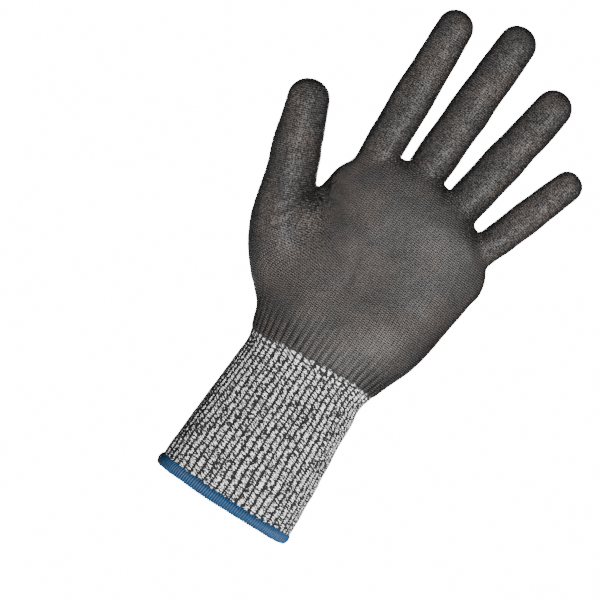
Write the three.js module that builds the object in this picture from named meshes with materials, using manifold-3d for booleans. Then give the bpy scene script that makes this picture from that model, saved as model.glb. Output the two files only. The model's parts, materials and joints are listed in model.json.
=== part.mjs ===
// A knitted, palm-dipped cut resistant work glove: the left-hand glove of a pair, open as on a hand.
// Millimetres. The origin is the centre of the cuff opening, +Z runs up to the fingertips,
// the palm faces -Y and the thumb points to -X.
//
// The glove is a knit liner, a thin polyurethane coating dipped over its palm side, a rib-knit
// wrist cuff with elastic yarns inside it, and an overlocked hem. Liner and coating are divided
// where the glove bends: sleeves that keep their shape, and a soft fold ring between each two.

import * as THREE from 'three';
import { LoftGeometry } from 'three/addons/geometries/LoftGeometry.js';
import { mergeVertices } from 'three/addons/utils/BufferGeometryUtils.js';
import Module from 'manifold-3d';

const wasm = await Module();
wasm.setup();

// ---------------------------------------------------------------- driving dimensions

const WRIST_Z = 75;              // height of the wrist bend above the cuff opening
const COAT_THICKNESS = 0.5;      // polyurethane film
const LINER_THICKNESS = 1.2;     // seamless knit
const CUFF_THICKNESS = 2.0;      // rib knit, thicker than the liner
const PIECE_GAP = 0.3;           // clearance kept between neighbouring pieces

const HEM_HEIGHT = 5;            // the bead round the opening
const HEM_PROUD = 0.8;           // how far the bead stands out from the cuff
const YARN_SIZE = 1.0;           // elastic yarn inside the rib
const YARN_HEIGHTS = [14, 29, 44, 59];

const FINGER_SIDES = 12;
const BODY_SIDES = 22;
const FAR = 200;                 // larger than anything that a cutter has to cover

// The cuff and palm from the opening up: height, the thumb-side edge, the little-finger edge, half depth.
const BODY_STATIONS = [
  [-10, -36.8, 36.8, 27.8],
  [25, -35.6, 35.6, 26.2],
  [WRIST_Z - 9, -32.8, 32.6, 21.8],
  [WRIST_Z, -32.4, 32, 21.2],
  [WRIST_Z + 12, -36.5, 36, 20.4],
  [WRIST_Z + 29, -43, 43, 19],
  [WRIST_Z + 53, -46, 47, 17],
  [WRIST_Z + 80, -44, 49.5, 15],
  [WRIST_Z + 102, -42, 51.5, 13],
  [WRIST_Z + 125, -40, 50, 7],
];
// The webs between the fingers, which end the palm: x, and z above the wrist.
const WEB_LINE = [[-60, 92], [-42, 102], [-15.5, 117], [8.7, 116], [32.7, 107.5], [52, 95], [60, 88]];
const BODY_POWER = 2.3;          // squareness of the palm's cross-section, 2 is an ellipse

// Each finger: where its middle crosses the web line (x, and z above the wrist), its lean
// towards +X, its curl towards the palm, its length above the webs and its half width.
const FINGERS = [
  { name: 'index', x: -27.5, z: 112, lean: -2, curl: 4, length: 78, halfWidth: 9.7 },
  { name: 'middle', x: -3.4, z: 117.5, lean: 2.3, curl: 3, length: 82.5, halfWidth: 10.2 },
  { name: 'ring', x: 20.7, z: 112.7, lean: 10, curl: 4, length: 71.5, halfWidth: 9.8 },
  { name: 'pinky', x: 42.4, z: 103.6, lean: 19.6, curl: 7, length: 52.5, halfWidth: 7.9 },
];
const BASE_HINGE = 8;            // base joint above the web line
const MIDDLE_HINGE = 0.40;       // middle joint, as a share of the finger's length
const END_HINGE = 0.70;          // end joint, as a share of the finger's length
// A finger's cross-sections: height as a share of its length, width and depth over half width.
const FINGER_PROFILE = [[-0.3, 0.92, 0.9], [0, 1.02, 0.98], [0.4, 1, 0.92], [0.7, 0.93, 0.84]];
const FINGERTIP = [0.88, 0.8];   // width and depth where the round end begins

const THUMB = { name: 'thumb', x: -54, z: 66, y: -3, lean: -20, curl: 8, roll: 35, length: 60.5 };
// Its cross-sections: height above the crease, half width, half depth.
const THUMB_PROFILE = [[-44, 7, 9], [-26, 13, 14], [-9, 15.5, 14.5], [2, 14, 13], [14, 12.4, 11.4],
  [29, 11.5, 10.2], [43, 10.6, 9.2]];
const THUMBTIP = [9.8, 8.4];     // half width and half depth where the round end begins
const THUMB_CREASE = [0.625, 0, 0.781]; // direction of the crease it folds on, edge to web
const THUMB_HINGE = 29;          // the thumb's own joint, above the crease
const ROUND_END = [[0, 1], [35, 0.82], [60, 0.5], [78, 0.2]]; // angle up a round end, width left

const HINGE_TOWARDS_PALM = 2;    // creases lie on the palm side of a finger's middle
// Half lengths of the folds, on the palm side and on the back: room for each joint's full bend.
const FOLD = {
  base: [6.6, 1.3],
  middle: [7.4, 1.3],
  end: [3.8, 1.3],
  thumbBase: [8.0, 2.0],
  thumbEnd: [6.2, 1.3],
};
const WRIST_FOLD = 9;            // half length of the wrist's fold, all round

const COAT_SIDE = 2.2;           // how far the coating wraps past the middle of a side
const TIP_DIP = 19;              // length of fingertip that is coated all round
const COAT_HEEL = WRIST_Z + 13;  // lower edge of the coating on the palm

const FINISHES = {
  liner: { color: 0xa4a4a6, roughness: 0.95, metalness: 0 },
  coating: { color: 0x2f2e30, roughness: 0.55, metalness: 0 },
  rib: { color: 0x8a8a8c, roughness: 0.95, metalness: 0 },
  fold: { color: 0x4a494b, roughness: 0.7, metalness: 0 },
  hem: { color: 0x1769a8, roughness: 0.9, metalness: 0 },
  elastic: { color: 0xd6d6d2, roughness: 0.8, metalness: 0 },
};

const LINER_INSET = COAT_THICKNESS + PIECE_GAP;
const SKIN_INSET = LINER_INSET + LINER_THICKNESS;

// ---------------------------------------------------------------- solids

function toSolid(geometry) {
  const bare = new THREE.BufferGeometry();
  bare.setAttribute('position', geometry.attributes.position);
  bare.setIndex(geometry.index);
  const merged = mergeVertices(bare);
  return new wasm.Manifold(new wasm.Mesh({
    numProp: 3,
    vertProperties: new Float32Array(merged.attributes.position.array),
    triVerts: new Uint32Array(merged.index.array),
  }));
}

function toGeometry(solid) {
  const mesh = solid.getMesh();
  const geometry = new THREE.BufferGeometry();
  geometry.setAttribute('position', new THREE.BufferAttribute(mesh.vertProperties, 3));
  geometry.setIndex(new THREE.BufferAttribute(mesh.triVerts, 1));
  return geometry;
}

// One rounded cross-section, as points placed by the given function of x and y.
function crossSection(sides, halfWidth, halfDepth, power, place) {
  return Array.from({ length: sides }, (_, i) => {
    const angle = ((i + 0.5) / sides) * 2 * Math.PI;
    const [c, s] = [Math.cos(angle), Math.sin(angle)];
    const x = Math.sign(c) * Math.abs(c) ** (2 / power) * halfWidth;
    const y = Math.sign(s) * Math.abs(s) ** (2 / power) * halfDepth;
    return place(x, y);
  });
}

function loftSolid(rings, matrix = new THREE.Matrix4()) {
  const geometry = new LoftGeometry(rings, { capStart: true, capEnd: true });
  return toSolid(geometry.applyMatrix4(matrix));
}

function boxSolid(low, high) {
  const [a, b] = [new THREE.Vector3(...low), new THREE.Vector3(...high)];
  const size = b.clone().sub(a);
  const middle = a.add(b).multiplyScalar(0.5);
  return toSolid(new THREE.BoxGeometry(size.x, size.y, size.z).translate(middle.x, middle.y, middle.z));
}

const heightBand = (from, to) => boxSolid([-FAR, -FAR, from], [FAR, FAR, to]);

// ---------------------------------------------------------------- cutting at a hinge

// Distance from the hinge to a cut face, at y across the digit: the palm value at -10 mm,
// the back value at +10 mm, and straight in between and beyond, so that the face is flat.
function cutFace(y, [palm, back]) {
  return (palm + back) / 2 - ((palm - back) / 20) * y;
}

// Everything past a hinge (side +1) or before it (side -1), beyond its fold.
function pastHinge(frame, fold, side) {
  const outline = [-FAR, FAR].map((y) => new THREE.Vector2(y, side * cutFace(y, fold)));
  outline.push(new THREE.Vector2(FAR, side * FAR), new THREE.Vector2(-FAR, side * FAR));
  const options = { depth: 2 * FAR, bevelEnabled: false };
  const geometry = new THREE.ExtrudeGeometry(new THREE.Shape(outline), options);
  geometry.translate(0, 0, -FAR);
  // The outline was drawn in x and y: turn it so that it lies across the hinge, in y and z.
  geometry.applyMatrix4(new THREE.Matrix4().set(0, 0, 1, 0, 1, 0, 0, 0, 0, 1, 0, 0, 0, 0, 0, 1));
  return toSolid(geometry.applyMatrix4(frame));
}

// A cut can leave a loose crumb: keep only the largest body.
const mainBody = (solid) => solid.decompose().reduce((a, b) => (a.volume() > b.volume() ? a : b));

const tighter = (fold) => fold.map((value) => value - PIECE_GAP);

function foldRing(shell, frame, fold) {
  return shell.subtract(pastHinge(frame, tighter(fold), 1))
    .subtract(pastHinge(frame, tighter(fold), -1));
}

// A hinge across a digit, at a height along it, near its palm side.
function hingeAt(z) {
  return new THREE.Matrix4().makeTranslation(0, -HINGE_TOWARDS_PALM, z);
}

// ---------------------------------------------------------------- cuff and palm

function bodyRing([z, left, right, halfDepth], inset) {
  const middle = (left + right) / 2;
  return crossSection(BODY_SIDES, (right - left) / 2 - inset, halfDepth - inset, BODY_POWER,
    (x, y) => new THREE.Vector3(x + middle, y, z));
}

// Everything above the web line, lowered by the inset.
function aboveWebs(inset) {
  const outline = WEB_LINE.map(([x, z]) => new THREE.Vector2(x, WRIST_Z + z - inset));
  outline.push(new THREE.Vector2(WEB_LINE.at(-1)[0], 2 * FAR), new THREE.Vector2(WEB_LINE[0][0], 2 * FAR));
  const options = { depth: 2 * FAR, bevelEnabled: false };
  const geometry = new THREE.ExtrudeGeometry(new THREE.Shape(outline), options);
  return toSolid(geometry.translate(0, 0, -FAR).rotateX(Math.PI / 2));
}

// The cuff and the palm as one closed body, with the digits left off.
function bodySolid(inset) {
  const rings = BODY_STATIONS.map((station) => bodyRing(station, inset));
  return loftSolid(rings).subtract(aboveWebs(inset));
}

// ---------------------------------------------------------------- the digits

// A digit from the ring sizes up its length, closed by a round end.
function digitSolid(rings, tip, length, inset, matrix) {
  const place = (z) => (x, y) => new THREE.Vector3(x, y, z);
  const shaft = rings.map(([z, w, d]) => (
    crossSection(FINGER_SIDES, w - inset, d - inset, 2.1, place(z))));
  const [tipWidth, tipDepth] = tip;
  const domeStart = length - tipWidth;
  const dome = ROUND_END.map(([angle, share]) => {
    const z = domeStart + (tipWidth - inset) * Math.sin(THREE.MathUtils.degToRad(angle));
    return crossSection(FINGER_SIDES, (tipWidth - inset) * share, (tipDepth - inset) * share, 2.1,
      place(z));
  });
  return loftSolid([...shaft, ...dome], matrix);
}

function fingerSolid(finger, inset, matrix) {
  const rings = FINGER_PROFILE.map(([share, wide, deep]) => (
    [share * finger.length, wide * finger.halfWidth, deep * finger.halfWidth]));
  const tip = FINGERTIP.map((share) => share * finger.halfWidth);
  return digitSolid(rings, tip, finger.length, inset, matrix);
}

const thumbSolid = (inset, matrix) => (
  digitSolid(THUMB_PROFILE, THUMBTIP, THUMB.length, inset, matrix));

// A group standing where the digit does: +Z along it and -Y on its palm side.
function digitGroup(digit) {
  const group = new THREE.Group();
  group.name = digit.name;
  group.position.set(digit.x, digit.y ?? 0, WRIST_Z + digit.z);
  const [curl, lean, roll] = [digit.curl, digit.lean, digit.roll ?? 0].map(THREE.MathUtils.degToRad);
  group.rotation.set(curl, lean, roll, 'YXZ');
  group.updateMatrix();
  return group;
}

// The thumb's crease runs slantwise from the palm's edge up to the web. Its hinge frame has x
// along the crease and z as near to the thumb's own direction as that allows.
function thumbCrease(group) {
  const upThumb = new THREE.Vector3(0, 0, 1).transformDirection(group.matrix);
  const along = new THREE.Vector3(...THUMB_CREASE).normalize();
  const z = upThumb.addScaledVector(along, -upThumb.dot(along)).normalize();
  const y = new THREE.Vector3().crossVectors(z, along);
  const frame = new THREE.Matrix4().makeBasis(along, y, z).setPosition(group.position);
  return frame.premultiply(group.matrix.clone().invert());
}

// ---------------------------------------------------------------- the scene

const glove = new THREE.Group();
glove.name = 'cut_resistant_glove';

function addPiece(parent, name, solid, finish) {
  const material = new THREE.MeshStandardMaterial(FINISHES[finish]);
  const mesh = new THREE.Mesh(toGeometry(solid), material);
  mesh.name = name;
  parent.add(mesh);
}

// The sleeves, coatings and folds of one digit. Each joint has a hinge frame and a fold.
function addDigit(group, name, solidAt, joints, length) {
  glove.add(group);
  const liner = solidAt(LINER_INSET).subtract(solidAt(SKIN_INSET));
  const film = solidAt(0).subtract(solidAt(COAT_THICKNESS));
  const whole = solidAt(0).subtract(solidAt(SKIN_INSET));
  const palmSide = boxSolid([-FAR, -FAR, -FAR], [FAR, COAT_SIDE, FAR]);
  const dippedTip = palmSide.add(heightBand(length - TIP_DIP, FAR));
  const segments = joints.length === 3 ? ['base', 'middle', 'tip'] : ['base', 'tip'];
  const bends = joints.length === 3 ? ['base', 'middle', 'end'] : ['base', 'end'];

  joints.forEach(({ frame, fold }, i) => {
    let reach = pastHinge(frame, fold, 1);
    const next = joints[i + 1];
    if (next) reach = reach.intersect(pastHinge(next.frame, next.fold, -1));
    const coated = next ? palmSide : dippedTip;
    addPiece(group, `${name}_${segments[i]}_sleeve`, liner.intersect(reach), 'liner');
    addPiece(group, `${name}_${segments[i]}_coating`, film.intersect(reach).intersect(coated), 'coating');
    addPiece(group, `${name}_${bends[i]}_fold`, foldRing(whole, frame, fold), 'fold');
  });
}

function addCuff() {
  const ringBetween = (outer, inner, from, to) => (
    bodySolid(outer).subtract(bodySolid(inner)).intersect(heightBand(from, to)));
  const ribBottom = HEM_HEIGHT + PIECE_GAP;
  const ribTop = WRIST_Z - WRIST_FOLD;
  addPiece(glove, 'rib_cuff', ringBetween(0, CUFF_THICKNESS, ribBottom, ribTop), 'rib');

  const hem = ringBetween(-HEM_PROUD, CUFF_THICKNESS + HEM_PROUD, 0, HEM_HEIGHT);
  addPiece(glove, 'cuff_hem', hem, 'hem');

  YARN_HEIGHTS.forEach((height, i) => {
    const inset = CUFF_THICKNESS + PIECE_GAP;
    const yarn = ringBetween(inset, inset + YARN_SIZE, height, height + YARN_SIZE);
    addPiece(glove, `elastic_yarn_${i + 1}`, yarn, 'elastic');
  });

  const foldBottom = ribTop + PIECE_GAP;
  const foldTop = WRIST_Z + WRIST_FOLD - PIECE_GAP;
  addPiece(glove, 'wrist_fold', ringBetween(0, SKIN_INSET, foldBottom, foldTop), 'rib');
}

function addHand(fingerGroups, fingerJoints, thumbGroup, thumbJoints) {
  const solidAt = (inset) => {
    let solid = bodySolid(inset).add(thumbSolid(inset, thumbGroup.matrix));
    FINGERS.forEach((finger, i) => {
      solid = solid.add(fingerSolid(finger, inset, fingerGroups[i].matrix));
    });
    return solid;
  };
  // Everything past each digit's base crease belongs to the digit.
  const clearance = -3;
  const thumbFrame = placed(thumbJoints[0].frame, thumbGroup);
  let digits = thumbSolid(clearance, thumbGroup.matrix)
    .subtract(pastHinge(thumbFrame, FOLD.thumbBase, -1));
  FINGERS.forEach((finger, i) => {
    const frame = placed(fingerJoints[i][0].frame, fingerGroups[i]);
    const own = fingerSolid(finger, clearance, fingerGroups[i].matrix);
    digits = digits.add(own.subtract(pastHinge(frame, FOLD.base, -1)));
  });
  const handBand = heightBand(WRIST_Z + WRIST_FOLD, 2 * FAR);
  const liner = solidAt(LINER_INSET).subtract(solidAt(SKIN_INSET)).intersect(handBand).subtract(digits);
  const front = boxSolid([-FAR, -FAR, 0], [FAR, -PIECE_GAP / 2, 2 * FAR]);
  const rear = boxSolid([-FAR, PIECE_GAP / 2, 0], [FAR, FAR, 2 * FAR]);
  addPiece(glove, 'palm_liner', mainBody(liner.intersect(front)), 'liner');
  addPiece(glove, 'back_liner', mainBody(liner.intersect(rear)), 'liner');

  const film = solidAt(0).subtract(solidAt(COAT_THICKNESS));
  const palmSide = boxSolid([-FAR, -FAR, COAT_HEEL], [FAR, COAT_SIDE, 2 * FAR]);
  const palmFilm = mainBody(film.intersect(palmSide).subtract(digits));
  addPiece(glove, 'palm_coating', palmFilm, 'coating');
}

const placed = (frame, group) => group.matrix.clone().multiply(frame);

const fingerGroups = FINGERS.map(digitGroup);
const fingerJoints = FINGERS.map((finger) => [
  { frame: hingeAt(BASE_HINGE), fold: FOLD.base },
  { frame: hingeAt(MIDDLE_HINGE * finger.length), fold: FOLD.middle },
  { frame: hingeAt(END_HINGE * finger.length), fold: FOLD.end },
]);
const thumbGroup = digitGroup(THUMB);
const thumbJoints = [
  { frame: thumbCrease(thumbGroup), fold: FOLD.thumbBase },
  { frame: hingeAt(THUMB_HINGE), fold: FOLD.thumbEnd },
];

addCuff();
addHand(fingerGroups, fingerJoints, thumbGroup, thumbJoints);
FINGERS.forEach((finger, i) => {
  addDigit(fingerGroups[i], finger.name, (inset) => fingerSolid(finger, inset), fingerJoints[i],
    finger.length);
});
addDigit(thumbGroup, 'thumb', (inset) => thumbSolid(inset), thumbJoints, THUMB.length);

export default glove;
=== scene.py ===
# %% [markdown]
# # A dipped work glove, from its frame to its stitches
# The glove is a seamless knit of black and white yarn, dipped on the palm side in dark polyurethane,
# with a ribbed wrist and a blue overlocked edge. The CAD frame says where everything is and how it
# bends. This lesson makes the surfaces that cover it. The frame comes first.

# %% Load the frame
import json
import math

import bpy
import numpy as np
from mathutils import Matrix, Vector


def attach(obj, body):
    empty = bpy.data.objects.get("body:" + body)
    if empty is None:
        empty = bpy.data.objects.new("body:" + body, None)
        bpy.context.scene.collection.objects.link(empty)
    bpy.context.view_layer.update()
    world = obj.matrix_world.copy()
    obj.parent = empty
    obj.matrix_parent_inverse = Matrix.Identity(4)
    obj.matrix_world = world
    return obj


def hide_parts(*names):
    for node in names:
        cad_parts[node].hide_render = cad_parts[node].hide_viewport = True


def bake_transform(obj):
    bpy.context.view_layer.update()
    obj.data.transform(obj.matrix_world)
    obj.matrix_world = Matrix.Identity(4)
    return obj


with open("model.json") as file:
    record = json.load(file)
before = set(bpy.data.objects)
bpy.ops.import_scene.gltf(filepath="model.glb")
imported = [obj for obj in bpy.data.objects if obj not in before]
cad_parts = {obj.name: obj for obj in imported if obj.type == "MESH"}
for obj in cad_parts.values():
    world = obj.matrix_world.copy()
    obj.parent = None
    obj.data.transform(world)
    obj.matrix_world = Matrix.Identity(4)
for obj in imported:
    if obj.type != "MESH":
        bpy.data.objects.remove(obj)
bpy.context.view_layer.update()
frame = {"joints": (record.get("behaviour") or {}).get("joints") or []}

MM = 0.001

# %% [markdown]
# ## The camera
# The glove is looked at square on its palm, and leans to the right. A long lens far away keeps
# the fingers parallel, as a close, wide lens would not. The glove itself stays upright: the camera is
# turned instead, so that every piece keeps the frame's coordinates.

# %% Camera
LEAN_TO_RIGHT = math.radians(33)
AIM = Vector((-21.3, 0, 104.2)) * MM
FIELD = 292.7 * MM
CAMERA_DISTANCE = 1.6


def aim_camera():
    data = bpy.data.cameras.new("camera")
    camera = bpy.data.objects.new("camera", data)
    bpy.context.scene.collection.objects.link(camera)
    right = Vector((math.cos(LEAN_TO_RIGHT), 0, math.sin(LEAN_TO_RIGHT)))
    up = Vector((-math.sin(LEAN_TO_RIGHT), 0, math.cos(LEAN_TO_RIGHT)))
    towards_viewer = Vector((0, -1, 0))
    place = Matrix((right, up, towards_viewer)).transposed().to_4x4()
    place.translation = AIM + towards_viewer * CAMERA_DISTANCE
    camera.matrix_world = place
    data.sensor_width = 36
    data.lens = data.sensor_width * CAMERA_DISTANCE / FIELD
    bpy.context.scene.camera = camera
    print("lens, mm:", round(data.lens))


aim_camera()

# %% [markdown]
# ## The floor
# A pale disc lies well below the cuff, so the glove stands free of it and its shadow stays out of the
# way.

# %% Floor
def floor_material():
    material = bpy.data.materials.new("pale_floor")
    material.use_nodes = True
    shader = material.node_tree.nodes["Principled BSDF"]
    shader.inputs["Base Color"].default_value = (0.85, 0.85, 0.85, 1)
    shader.inputs["Roughness"].default_value = 0.8
    return material


def add_floor(depth, radius):
    sides = 96
    ring = [(radius * math.cos(a), radius * math.sin(a), depth)
            for a in np.linspace(0, 2 * math.pi, sides, endpoint=False)]
    mesh = bpy.data.meshes.new("floor")
    mesh.from_pydata(ring, [], [list(range(sides))])
    floor = bpy.data.objects.new("floor", mesh)
    bpy.context.scene.collection.objects.link(floor)
    mesh.materials.append(floor_material())
    print("floor radius, m:", radius)


add_floor(depth=-0.25, radius=1.0)

# %% [markdown]
# ## The light
# A soft key light near the lens, a little to its right, draws a sheen down the middle of each digit and
# leaves the sides dark. A faint fill lifts the left, and a wide light behind rims the outline. The
# surround looks white, but gives off little light, which the Is Camera Ray switch makes possible.

# %% Light
def add_light(name, place, size, power):
    data = bpy.data.lights.new(name, "AREA")
    data.size = size
    data.energy = power
    light = bpy.data.objects.new(name, data)
    bpy.context.scene.collection.objects.link(light)
    light.location = place
    light.rotation_euler = (AIM - Vector(place)).to_track_quat("-Z", "Y").to_euler()
    print(name, "light:", power, "W,", round(light.location.length, 2), "m away")


def light_world(lighting, seen):
    """A white surround that lights the glove softly but is seen as a bright blank sheet."""
    world = bpy.data.worlds.new("surround")
    bpy.context.scene.world = world
    world.use_nodes = True
    tree = world.node_tree
    strength = tree.nodes.new("ShaderNodeMapRange")
    strength.inputs["To Min"].default_value = lighting
    strength.inputs["To Max"].default_value = seen
    background = tree.nodes["Background"]
    background.inputs["Color"].default_value = (1, 1, 1, 1)
    tree.links.new(tree.nodes.new("ShaderNodeLightPath").outputs["Is Camera Ray"], strength.inputs["Value"])
    tree.links.new(strength.outputs["Result"], background.inputs["Strength"])


add_light("key", (0.55, -1.5, 0.0), 0.3, 96)
add_light("fill", (-1.3, -0.9, 0.6), 0.8, 0.6)
add_light("back", (0.0, 1.6, 0.35), 0.9, 60)
light_world(lighting=0.08, seen=16.0)

# %% [markdown]
# ## The digits, read from the joints
# Each joint of the frame gives a hinge point and an axis, so a digit's own axes come from them: along
# it, across it and towards the back of the hand. All shapes are made in millimetres from here on and
# turned into metres when they become Blender meshes.

# %% Read the digits from the joints
BASE_HINGE = 8.0         # a finger's base joint above the line of the webs
TOWARDS_PALM = 2.0       # hinges lie on the palm side of a digit's middle
MIDDLE_SHARE = 0.40      # where a finger's middle joint is, as a share of its length
END_SHARE = 0.70
THUMB_JOINT = 29.0       # the thumb's own joint above its crease
FINGER_HALF_WIDTHS = {"index": 9.7, "middle": 10.2, "ring": 9.8, "pinky": 7.9}
THUMB_LENGTH = 60.5

joints = {joint["name"]: joint for joint in frame["joints"]}


def hinge(name):
    return np.array(joints[name]["pos_m"]) / MM, np.array(joints[name]["axis"])


def unit(v):
    return v / np.linalg.norm(v)


def read_finger(name):
    base, across = hinge(f"{name}_base_bend")
    end, _ = hinge(f"{name}_end_bend")
    along = unit(end - base)
    back = np.cross(along, across)
    length = (np.linalg.norm(end - base) + BASE_HINGE) / END_SHARE
    origin = base + TOWARDS_PALM * back - BASE_HINGE * along
    return {"name": name, "origin": origin, "across": across, "back": back, "along": along,
            "length": length, "half_width": FINGER_HALF_WIDTHS[name]}


def read_thumb():
    origin, _ = hinge("thumb_base_bend")
    joint, axis = hinge("thumb_end_bend")
    across = -axis
    reach = joint - origin
    # The end hinge lies off the thumb's middle, so the middle leans away from the line between hinges.
    along = unit(THUMB_JOINT * reach + TOWARDS_PALM * np.cross(reach, across))
    return {"name": "thumb", "origin": origin, "across": across, "back": np.cross(along, across),
            "along": along, "length": THUMB_LENGTH}


digits = [read_finger(name) for name in FINGER_HALF_WIDTHS] + [read_thumb()]
WRIST_Z = hinge("wrist_bend")[0][2]
for digit in digits:
    print(digit["name"], "length", round(digit["length"], 1), "along", digit["along"].round(2))


def into_digit(points, digit):
    """Points as across, back and along a digit, from its origin."""
    axes = np.array([digit["across"], digit["back"], digit["along"]])
    return (points - digit["origin"]) @ axes.T


# %% [markdown]
# ## Smooth tables
# A hand has no straight lines, so each outline is a short table of sizes with a smooth curve through
# it. Cubic pieces between the rows keep the curve from swinging out, as one high polynomial would.

# %% Smooth tables
def smooth_step(t):
    t = np.clip(t, 0, 1)
    return t * t * (3 - 2 * t)


def smooth_table(rows):
    """A function of the first column that gives the others, by cubic curves through the rows."""
    table = np.array(rows, float)
    knots, values = table[:, 0], table[:, 1:]
    slopes = np.gradient(values, knots, axis=0)

    def at(x):
        x = np.clip(np.atleast_1d(x), knots[0], knots[-1])
        i = np.clip(np.searchsorted(knots, x, side="right") - 1, 0, len(knots) - 2)
        span = (knots[i + 1] - knots[i])[:, None]
        t = (x - knots[i])[:, None] / span
        rise, fall = t * t * (3 - 2 * t), (1 + 2 * t) * (1 - t) ** 2
        return (fall * values[i] + rise * values[i + 1]
                + t * (1 - t) ** 2 * span * slopes[i] + t * t * (t - 1) * span * slopes[i + 1])
    return at


print("half of a smooth step:", smooth_step(0.5))

# %% [markdown]
# ## Noise and bumps
# Worn cloth is never quite even. Noise made of hashed lattice values roughens its surface and its edges
# the same way on every run, and a soft bump is the brush for all the sculpting that follows.

# %% Noise and bumps
def noise(points, size, seed=0):
    """Smooth noise from -1 to 1 with features of about the given size."""
    p = np.asarray(points, float) / size + seed * 17.31
    cell = np.floor(p)
    f = smooth_step(p - cell)
    total = np.zeros(len(p))
    for corner in np.ndindex(2, 2, 2):
        c = cell + corner
        value = np.sin(c @ np.array([12.9898, 78.233, 37.719]) + seed * 3.7) * 43758.5453
        weight = np.prod(np.where(np.array(corner) == 1, f, 1 - f), axis=1)
        total += weight * (value - np.floor(value))
    return 2 * total - 1


def bump(distance, width):
    return np.exp(-(distance / width) ** 2)


print("noise at the wrist:", noise([[0, 0, WRIST_Z]], 10).round(3)[0])

# %% [markdown]
# ## The sizes of a filled hand
# A worn glove takes the shape of the hand in it, so the tables are a hand's own: how wide and how deep
# the cuff and palm are at each height, and each digit along its length. One table serves all four
# fingers, because they differ in size more than in shape.

# %% Sizes of the hand
# Above the wrist: thumb-side edge, little-finger edge, depth to the palm, depth to the back.
BODY_TABLE = smooth_table([
    [-85, -36.8, 36.8, 27.8, 27.8], [-50, -35.6, 35.6, 26.2, 26.2], [-9, -32.8, 32.6, 21.8, 21.8],
    [0, -32.4, 32.0, 21.2, 21.2], [12, -36.0, 35.6, 21.0, 20.0], [29, -42.5, 42.5, 20.6, 18.4],
    [53, -45.8, 47.0, 18.6, 16.6], [80, -43.8, 49.6, 15.6, 14.6], [98, -42.4, 50.8, 13.6, 12.6],
    [110, -40.5, 48.6, 11.4, 10.4], [117, -35.0, 42.0, 7.6, 7.0]])
# From the thumb's side to the little finger's: how high the palm reaches there.
WEB_TABLE = smooth_table([
    [-60, 90], [-43, 99.5], [-15.5, 116], [8.7, 115.5], [32.7, 106], [52, 92], [60, 88]])
BODY_TOP = 117.0
# Share of a finger's length: half width, depth to the palm and depth to the back over half width.
FINGER_TABLE = smooth_table([
    [-0.35, 0.88, 0.84, 0.78], [-0.1, 0.99, 0.98, 0.90], [0.06, 1.03, 1.02, 0.92],
    [0.22, 0.99, 0.98, 0.88], [0.40, 1.02, 0.92, 0.94], [0.55, 0.97, 0.95, 0.83],
    [0.70, 0.955, 0.86, 0.85], [0.82, 0.925, 0.88, 0.77], [0.92, 0.90, 0.86, 0.74]])
THUMB_TABLE = smooth_table([
    [-50, 5, 6, 6], [-42, 8.5, 10, 9], [-26, 13.4, 15.5, 12.5], [-9, 15.6, 15.8, 13.2],
    [2, 14.4, 13.6, 12.4], [14, 12.8, 11.6, 11.2], [29, 12.2, 10.2, 10.8], [38, 11.3, 10.2, 9.4],
    [50, 10.4, 9.4, 8.2]])
BODY_POWER = 2.3
DIGIT_POWER = 2.15


def digit_sizes(digit, heights):
    if digit["name"] == "thumb":
        return THUMB_TABLE(heights)
    return FINGER_TABLE(heights / digit["length"]) * digit["half_width"]


print("wrist edges and depths, mm:", BODY_TABLE(0)[0])

# %% [markdown]
# ## Lofts
# The palm, each finger and the thumb are lofts: stacks of rounded rings whose sizes come from the
# tables, closed at both ends. They run into each other and are joined into one skin afterwards. A loft
# was chosen over hand sculpting because every section can be given its true size.

# %% Loft the palm and the digits
RING_SIDES = 64
RING_STEP = 1.5
BODY_BOTTOM = -14.0
WEBS_FELT_FROM = 60.0           # above this the palm's rings start to follow the line of the webs
DOME_ANGLES = [12, 24, 36, 48, 60, 72, 82]


def rounded_ring(half_width, front, back, power):
    """x and y of a rounded outline, front being -y."""
    angle = np.linspace(0, 2 * math.pi, RING_SIDES, endpoint=False)
    c, s = np.cos(angle), np.sin(angle)
    x = np.sign(c) * np.abs(c) ** (2 / power) * half_width
    y = np.sign(s) * np.abs(s) ** (2 / power) * np.where(s < 0, front, back)
    return x, y


def closed_loft(rings):
    """Vertices and faces of a stack of rings, closed at both ends by fans."""
    count, sides = rings.shape[:2]
    verts = np.vstack([rings.reshape(-1, 3), rings[0].mean(0), rings[-1].mean(0)])
    i = np.arange(sides)
    j = (i + 1) % sides
    faces = [[int(a), int(b), int(b + sides), int(a + sides)]
             for k in range(count - 1) for a, b in zip(i + k * sides, j + k * sides)]
    last = (count - 1) * sides
    faces += [[int(b), int(a), count * sides] for a, b in zip(i, j)]
    faces += [[int(a + last), int(b + last), count * sides + 1] for a, b in zip(i, j)]
    return verts, faces


def body_loft():
    heights = np.arange(BODY_BOTTOM, BODY_TOP + 0.1, RING_STEP)
    rings = []
    for height, (left, right, front, back) in zip(heights, BODY_TABLE(heights)):
        x, y = rounded_ring((right - left) / 2, front, back, BODY_POWER)
        x = x + (left + right) / 2
        follow = smooth_step((height - WEBS_FELT_FROM) / (BODY_TOP - WEBS_FELT_FROM))
        web_drop = (WEB_TABLE(x)[:, 0] - BODY_TOP) * follow
        rings.append(np.column_stack([x, y, WRIST_Z + height + web_drop]))
    return closed_loft(np.array(rings))


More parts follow.
